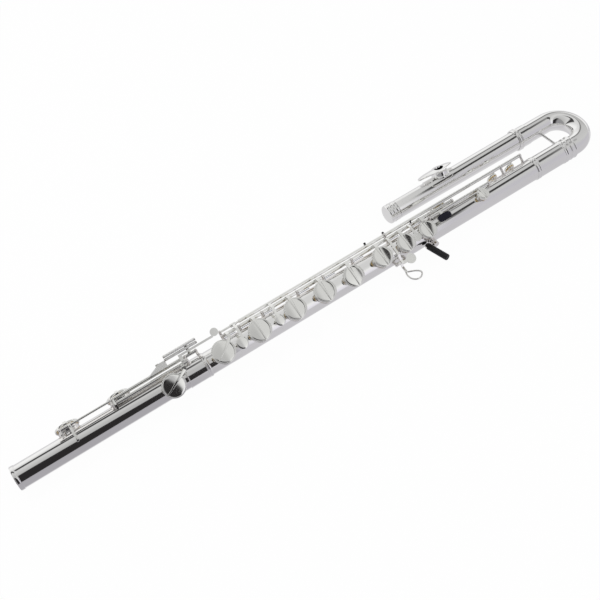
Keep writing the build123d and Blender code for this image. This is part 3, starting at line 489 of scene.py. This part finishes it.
# Tone holes: the tops of the short tubes are rolled over outwards, so that the pads meet a round
# edge. They're silver, like the tube they're soldered to.
hole_facing = {
    "low_c": 116, "low_c_sharp": 116, "e_flat": -6, "thumb": 116, "c": 12,
    "trill_d": 112, "trill_e_flat": 112,
}
rolled_edge = 0.00055
edge_steps = 10
edge_sink = 0.7
chimney_inset = 0.0016
large_chimney, small_chimney = 0.0200, 0.0190
for key, (mouth, facing, radius) in cup_places.items():
    large = radius > large_cup_r
    height = large_chimney if large else small_chimney
    way = ray(hole_facing.get(key, 0))
    centre = Vector((mouth.x, axis_y, axis_z)) + way * (height - rolled_edge * edge_sink)
    ring_radius = (radius - cup_flange_mm if large else radius) / 1000 - chimney_inset
    rim = bmesh.new()
    angles = [2 * pi * step / edge_steps for step in range(edge_steps)]
    turned = [(ring_radius + rolled_edge * cos(angle), rolled_edge * sin(angle)) for angle in angles]
    lathe(rim, centre, way, turned, steps=64)
    joint = "foot_joint" if key in ("low_c", "low_c_sharp", "e_flat") else "body_joint"
    add_piece(key + "_rolled_rim", rim, joint, fitting_silver)


# Pointed arms: forged silver arms that lie over the cups to their far rims, with eased edges. Each
# starts beside its cup or over it, by a distance along and across the body, narrows to a blunt
# point, and is soldered down on the cup.
arm_starts = {
    "e_flat": (0.0220, 0.0114), "d": (0.0165, 0.0115), "e": (0, 0.0113), "f": (0, 0.0110),
    "f_sharp": (0, 0.0110), "g_sharp": (0, 0.0106), "g": (0, 0.0102), "a": (0, 0.0088),
    "b_flat": (0, 0.0084), "c": (0, 0.0050),
}
arm_root_width = 0.0046
arm_tip_width = 0.0016
arm_root_inset = 0.002
arm_tip_inset = 0.0012
arm_level = 0.0042
arm_thickness = 0.0015
arm_edge = 0.0005
for key, (along, across) in arm_starts.items():
    mouth, facing, radius = cup_places[key]
    side = Vector((1, 0, 0))
    up = facing.cross(side)
    up = up if up.y > 0 else -up
    start = side * along + up * across
    way = start.normalized()
    if start.length < radius / 1000 - arm_root_inset:
        start = way * (radius / 1000 - arm_root_inset)
    tip = -way * (radius / 1000 - arm_tip_inset)
    square = way.cross(facing)
    arm = bmesh.new()
    level = mouth + facing * arm_level
    corners = [start + square * arm_root_width / 2, tip + square * arm_tip_width / 2,
               tip - square * arm_tip_width / 2, start - square * arm_root_width / 2]
    outline = arm.faces.new([arm.verts.new(level + corner) for corner in corners])
    grown = bmesh.ops.extrude_face_region(arm, geom=[outline])
    top = [item for item in grown["geom"] if isinstance(item, bmesh.types.BMVert)]
    bmesh.ops.translate(arm, verts=top, vec=facing * arm_thickness)
    top_edges = [edge for edge in arm.edges if edge.verts[0] in top and edge.verts[1] in top]
    bmesh.ops.bevel(arm, geom=top_edges, offset=arm_edge, segments=3, profile=0.5, affect="EDGES",
                    material=-1)
    add_piece(key + "_pointed_arm", arm, body_of(key + "_key"), key_silver)

# Trill keys' finger plates: round silver plates with a low dome, between the cups of the main
# line. Each is soldered on the end of its key's arm.
touch_level = 0.0222
touch_facing = 2
dome_top_mm, dome_fall_mm = 1.15, 0.4
for name, station, touch_r in (("trill_e_flat", 0.3270, 8.4), ("trill_d", 0.3860, 7.6)):
    touch = bmesh.new()
    touch_at = foot_end + Vector((station, 0, 0)) + ray(0) * touch_level
    dome = [(0, -0.3), (touch_r - 0.5, -0.3), (touch_r, 0.1), (touch_r - 0.1, 0.5), (touch_r - 0.7, 0.75)]
    dome += [(touch_r * share, dome_top_mm - dome_fall_mm * share ** 2)
             for share in (0.8, 0.6, 0.4, 0.2, 0)]
    lathe(touch, touch_at, ray(touch_facing), millimetres(dome), steps=48)
    add_piece(name + "_finger_plate", touch, name, key_silver)

# Stop arm of the low C key: a bent silver bar that rests on the foot's tube through a small black
# bumper, which holds the key at its open height.
stop_station = 0.0875
stop_path = ((23.0, 10.5), (21.8, 15.6), (15.2, 18.5), (2.6, 21.0))
stop_size = (0.0028, 0.0033)
stop_edge = 0.0008
bumper_place = (2.6, 18.2)
bumper_facing = 4
bumper_profile = [(0, -1.2), (1.5, -1.2), (1.7, -0.6), (1.7, 1.2), (1.5, 1.9), (0, 2.0)]


def along_body(station, across, height):
    """Point at a station from the foot's end, at a place across the body in millimetres."""
    return foot_end + Vector((station, 0, 0)) + ray(90) * (across / 1000) + ray(0) * (height / 1000)


def bent_bar(name, station, path, size, body, material):
    """Bar with rounded edges through places across the body, its runs overlapping at the bends."""
    thickness, width = size
    bar = bmesh.new()
    points = [along_body(station, *place) for place in path]
    for first, second in zip(points, points[1:]):
        way = (second - first).normalized()
        square = way.cross(Vector((1, 0, 0)))
        turned = Matrix((Vector((1, 0, 0)), square, way)).transposed().to_4x4()
        length = (second - first).length + thickness * 0.6
        stretched = Matrix.Diagonal((width, thickness, length, 1))
        placed = Matrix.Translation((first + second) / 2) @ turned @ stretched
        bmesh.ops.create_cube(bar, size=1, matrix=placed)
    bmesh.ops.bevel(bar, geom=bar.edges[:], offset=stop_edge, segments=3, profile=0.5, affect="EDGES",
                    material=-1)
    return add_piece(name, bar, body, material)


bent_bar("low_c_stop_bar", stop_station, stop_path, stop_size, "low_c", key_silver)
bumper = bmesh.new()
bumper_at = along_body(stop_station, *bumper_place)
lathe(bumper, bumper_at, ray(bumper_facing), millimetres(bumper_profile), steps=24)
add_piece("low_c_bumper", bumper, "low_c", crutch_black)

# Web of the low C sharp key: a thin silver sheet soldered between the hinge tube and the roller
# rail, a little raised along the tube.
roller_start = 0.2310
web_corners = ((-30.2, 24.2), (-1.6, 24.2), (-1.6, 33.3), (-9.8, 33.3))
web_rail_mm = 30
web_levels_mm = (12.0, 15.2, 13.1)
web_lift = radians(9)
side_hinge = (23.0, 8.0)


def lifted(across, height):
    """Place across the foot after the side keys' opening turn about their hinge line."""
    out, up = across - side_hinge[0], height - side_hinge[1]
    return (side_hinge[0] + out * cos(web_lift) - up * sin(web_lift),
            side_hinge[1] + out * sin(web_lift) + up * cos(web_lift))


web = bmesh.new()
base, inner_top, outer_top = web_levels_mm
lower = []
upper = []
for along, across in web_corners:
    station = roller_start + along / 1000
    top_level = inner_top if across < web_rail_mm else outer_top
    lower.append(web.verts.new(along_body(station, *lifted(across, base))))
    upper.append(web.verts.new(along_body(station, *lifted(across, top_level))))
web.faces.new(lower)
web.faces.new(upper)
for first in range(len(web_corners)):
    second = (first + 1) % len(web_corners)
    web.faces.new((lower[first], lower[second], upper[second], upper[first]))
add_piece("low_c_sharp_web", web, "low_c_sharp", satin_silver, rounding=0.0004)

# Joint rings: the socket, the barrel and the bend's two ferrules are drawn silver sleeves, turned
# with round ridges at their mouths and soldered on.
tube_r = 16.0
slide_gap_mm = 0.02
bend_tube_r = 15.2
sleeve_r = 16.7
tenon_ferrule_r = 16.3
head_ferrule_r = 15.9
ridge_r = 17.3
ridge_shape = ((0, 0), (0.08, 0.40), (0.25, 0.80), (0.5, 1.0), (0.75, 0.80), (0.92, 0.40), (1, 0))


def ring_sleeve(name, start, y, inner_r, outer_r, length, ridges, body):
    """Turned sleeve from start towards the bend, with ridges given as spans of its length."""
    outline = [(inner_r, 0), (outer_r - 0.1, 0), (outer_r, 0.08)]
    for low, high in ridges:
        outline += [(outer_r + (ridge_r - outer_r) * up, low + (high - low) * share)
                    for share, up in ridge_shape]
    outline += [(outer_r, length - 0.08), (outer_r - 0.1, length), (inner_r, length)]
    sleeve = bmesh.new()
    lathe(sleeve, Vector((start, y, axis_z)), Vector((1, 0, 0)), millimetres(outline), steps=96)
    return add_piece(name, sleeve, body, tube_silver)


socket_low, socket_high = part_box("foot_socket")
barrel_low, barrel_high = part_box("barrel")
bend_low, bend_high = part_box("bend_ferrules")
head_low, head_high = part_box("head_tube")
head_y = (head_low.y + head_high.y) / 2
socket_mm = (socket_high.x - socket_low.x) * 1000
barrel_mm = (barrel_high.x - barrel_low.x) * 1000
socket_ridges = [(0.1, 1.5), (socket_mm - 6.0, socket_mm - 4.3),
                 (socket_mm - 3.9, socket_mm - 0.1)]
socket_sleeve = ring_sleeve("socket_sleeve", socket_low.x, axis_y, tube_r + slide_gap_mm, sleeve_r,
                            socket_mm, socket_ridges, "foot_joint")
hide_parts("foot_socket")
barrel_ridges = [(0.1, 4.0), (4.3, 7.9), (barrel_mm - 8.0, barrel_mm - 6.3),
                 (barrel_mm - 4.4, barrel_mm - 0.1)]
barrel_sleeve = ring_sleeve("barrel_sleeve", barrel_low.x, axis_y, tube_r + slide_gap_mm, sleeve_r,
                            barrel_mm, barrel_ridges, "body_joint")
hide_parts("barrel")
tenon_ferrule_mm, head_ferrule_mm = 11.0, 24.0
tenon_ferrule = ring_sleeve("tenon_ferrule", bend_high.x - tenon_ferrule_mm / 1000, axis_y, tube_r,
                            tenon_ferrule_r, tenon_ferrule_mm, [(0.1, 2.6), (7.4, 10.9)], "bend")
head_ferrule = ring_sleeve("head_ferrule", bend_low.x, head_y, bend_tube_r, head_ferrule_r,
                           head_ferrule_mm, [(0.1, 5.4), (5.8, 7.9)], "bend")
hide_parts("bend_ferrules")
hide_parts("bend_ferrules")

# Foot end: the silver tube's open end is turned outwards into a broad bead with a soft outer edge,
# all one with the tube.
end_profile = [(15.45, 0.4), (15.8, 0), (16.3, 0), (16.7, 0.5), (16.8, 1.4), (16.7, 4.6),
               (16.4, 5.5), (16.0, 5.8), (15.5, 5.2)]
foot_bead = bmesh.new()
lathe(foot_bead, foot_end, Vector((1, 0, 0)), millimetres(end_profile), steps=96)
add_piece("foot_end_bead", foot_bead, "foot_joint", tube_silver)

# Crown: a turned silver cap with a domed face, two grooves and a ring of beading between them,
# screwed on to the stopper's rod.
crown_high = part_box("crown")[1]
crown_profile = [
    (0, 11.6), (2.55, 11.6), (2.55, 0), (13.3, 0), (14.0, 0.25), (14.2, 0.8), (14.2, 4.6), (13.9, 5.1),
    (13.5, 5.4), (13.5, 6.2), (13.9, 6.5), (14.15, 7.2), (14.2, 8.6), (14.15, 10.0), (13.9, 10.7),
    (13.5, 11.0), (13.5, 11.8), (13.9, 12.1), (14.2, 12.6), (14.2, 15.2), (13.9, 16.1), (13.0, 16.9),
    (11.2, 17.3), (10.6, 17.2), (10.0, 17.35), (7.0, 17.75), (3.5, 17.95), (0, 18.0),
]
bead_count = 60
bead_radius = 0.00055
bead_ring_radius = 0.0141
bead_ring_back = 0.0086
crown_cap = bmesh.new()
crown_root = Vector((crown_high.x, head_y, axis_z))
lathe(crown_cap, crown_root, Vector((-1, 0, 0)), millimetres(crown_profile), steps=96)
crown_piece = add_piece("crown_cap", crown_cap, "crown", tube_silver)
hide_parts("crown")
beading = bmesh.new()
ring_middle = Matrix.Translation(crown_root - Vector((bead_ring_back, 0, 0)))
for step in range(bead_count):
    turned = Matrix.Rotation(2 * pi * step / bead_count, 4, "X")
    at = ring_middle @ turned @ Matrix.Translation((0, 0, bead_ring_radius))
    bmesh.ops.create_uvsphere(beading, u_segments=8, v_segments=6, radius=bead_radius, matrix=at)
add_piece("crown_beading", beading, "crown", tube_silver)

# Lip plate: a curved silver plate with eased edges, ends that curl down and an oval blow hole. It is
# soldered to a flared riser on the head tube.
plate_low, plate_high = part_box("lip_plate")
plate_middle = (plate_low.x + plate_high.x) / 2
hole_x = plate_middle + 0.0055
plate_radius = 0.0243
plate_turn = radians(52.5)
hole_turn = radians(65)
plate_half = (0.0304, 0.0127)
hole_half = (0.0072, 0.0062)
plate_rise = 0.0008
plate_curl = 0.0034
plate_thickness = 0.0019
hole_share = 0.4


def on_plate(x, off):
    """Point of the plate's curved top at an offset across its middle line. Its ends curl down."""
    turned = plate_turn + asin(off / plate_radius)
    reach = plate_radius + plate_rise - plate_curl * abs((x - plate_middle) / plate_half[0]) ** 4
    return Vector((x, head_y + reach * cos(turned), axis_z + reach * sin(turned)))


plate = bmesh.new()
bmesh.ops.create_circle(plate, segments=72, radius=1)
bmesh.ops.create_circle(plate, segments=72, radius=hole_share)
bmesh.ops.bridge_loops(plate, edges=plate.edges[:])
across_edges = [edge for edge in plate.edges
                if abs(edge.verts[0].co.length - edge.verts[1].co.length) > 0.1]
bmesh.ops.subdivide_edges(plate, edges=across_edges, cuts=7)
for vertex in plate.verts:
    share = (vertex.co.length - hole_share) / (1 - hole_share)
    way = vertex.co.normalized()
    hole_off = plate_radius * sin(hole_turn - plate_turn + asin(hole_half[1] * way.y / plate_radius))
    hole_at = (hole_x + hole_half[0] * way.x, hole_off)
    edge_at = (plate_middle + plate_half[0] * way.x, plate_half[1] * way.y)
    x = hole_at[0] + (edge_at[0] - hole_at[0]) * share
    off = hole_at[1] + (edge_at[1] - hole_at[1]) * share
    vertex.co = on_plate(x, off)
bmesh.ops.recalc_face_normals(plate, faces=plate.faces[:])
outwards = plate.faces[0].calc_center_median() - Vector((0, head_y, axis_z))
if plate.faces[0].normal.dot(outwards) < 0:
    bmesh.ops.reverse_faces(plate, faces=plate.faces[:])
bmesh.ops.solidify(plate, geom=plate.faces[:], thickness=plate_thickness)
plate_piece = add_piece("lip_plate_shell", plate, "head", tube_silver,
                        rounding=0.0005, segments=4)
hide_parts("lip_plate")

riser_way = Vector((0, cos(hole_turn), sin(hole_turn)))
riser_profile = [(7.5, 14.2), (13.6, 14.2), (12.9, 15.0), (12.2, 16.2), (11.7, 18.0), (11.3, 20.0),
                 (11.3, 22.0), (11.8, 23.6), (7.5, 23.8)]
flare = bmesh.new()
lathe(flare, Vector((hole_x, head_y, axis_z)), riser_way, millimetres(riser_profile))
add_piece("riser_flare", flare, "head", tube_silver)

# Pegs: small black stop pegs at the trill keys' line, which quieten the keys. They stand out
# towards the far side of the body.
peg_height_mm = 7.8
peg_facing = 82
peg_profile = [(0, -1.5), (1.1, -1.5), (1.1, 0.6), (1.7, 0.8), (1.7, 2.6), (1.2, 3.2), (0, 3.4)]
peg_places = [
    ("peg_1", 0.5805, 29.5, "body_joint"),
    ("peg_2", 0.5490, 29.5, "trill_d"),
    ("peg_3", 0.6250, 24.5, "body_joint"),
]
for name, station, across, body in peg_places:
    peg = bmesh.new()
    root = along_body(station, across, peg_height_mm)
    lathe(peg, root, ray(peg_facing), millimetres(peg_profile), steps=24)
    add_piece(name, peg, body, crutch_black)

# Pivot screws: steel screws with a small hollow in the head, turned into the outermost posts. Each
# holds the end of a hinge rod.
screw_profile = [(0, -1.0), (1.75, -1.0), (1.75, 0.15), (1.4, 0.4), (0.9, 0.45), (0.8, 0.2), (0, 0.2)]
screw_places = [
    ("screw_foot_end", 0.0724, 23.0, 8.0, -1, "foot_joint"),
    ("screw_foot_top", 0.2726, 23.0, 8.0, 1, "foot_joint"),
    ("screw_body_first", 0.3089, 21.0, 8.0, -1, "body_joint"),
    ("screw_trill_end", 0.8311, 27.3, 7.2, 1, "body_joint"),
    ("screw_c_low", 0.6494, 15.6, 12.2, -1, "body_joint"),
    ("screw_c_high", 0.7606, 15.6, 12.2, 1, "body_joint"),
]
for name, station, across, height, side, body in screw_places:
    head = bmesh.new()
    head_at = along_body(station, across, height)
    lathe(head, head_at, Vector((side, 0, 0)), millimetres(screw_profile), steps=32)
    add_piece(name, head, body, steel)
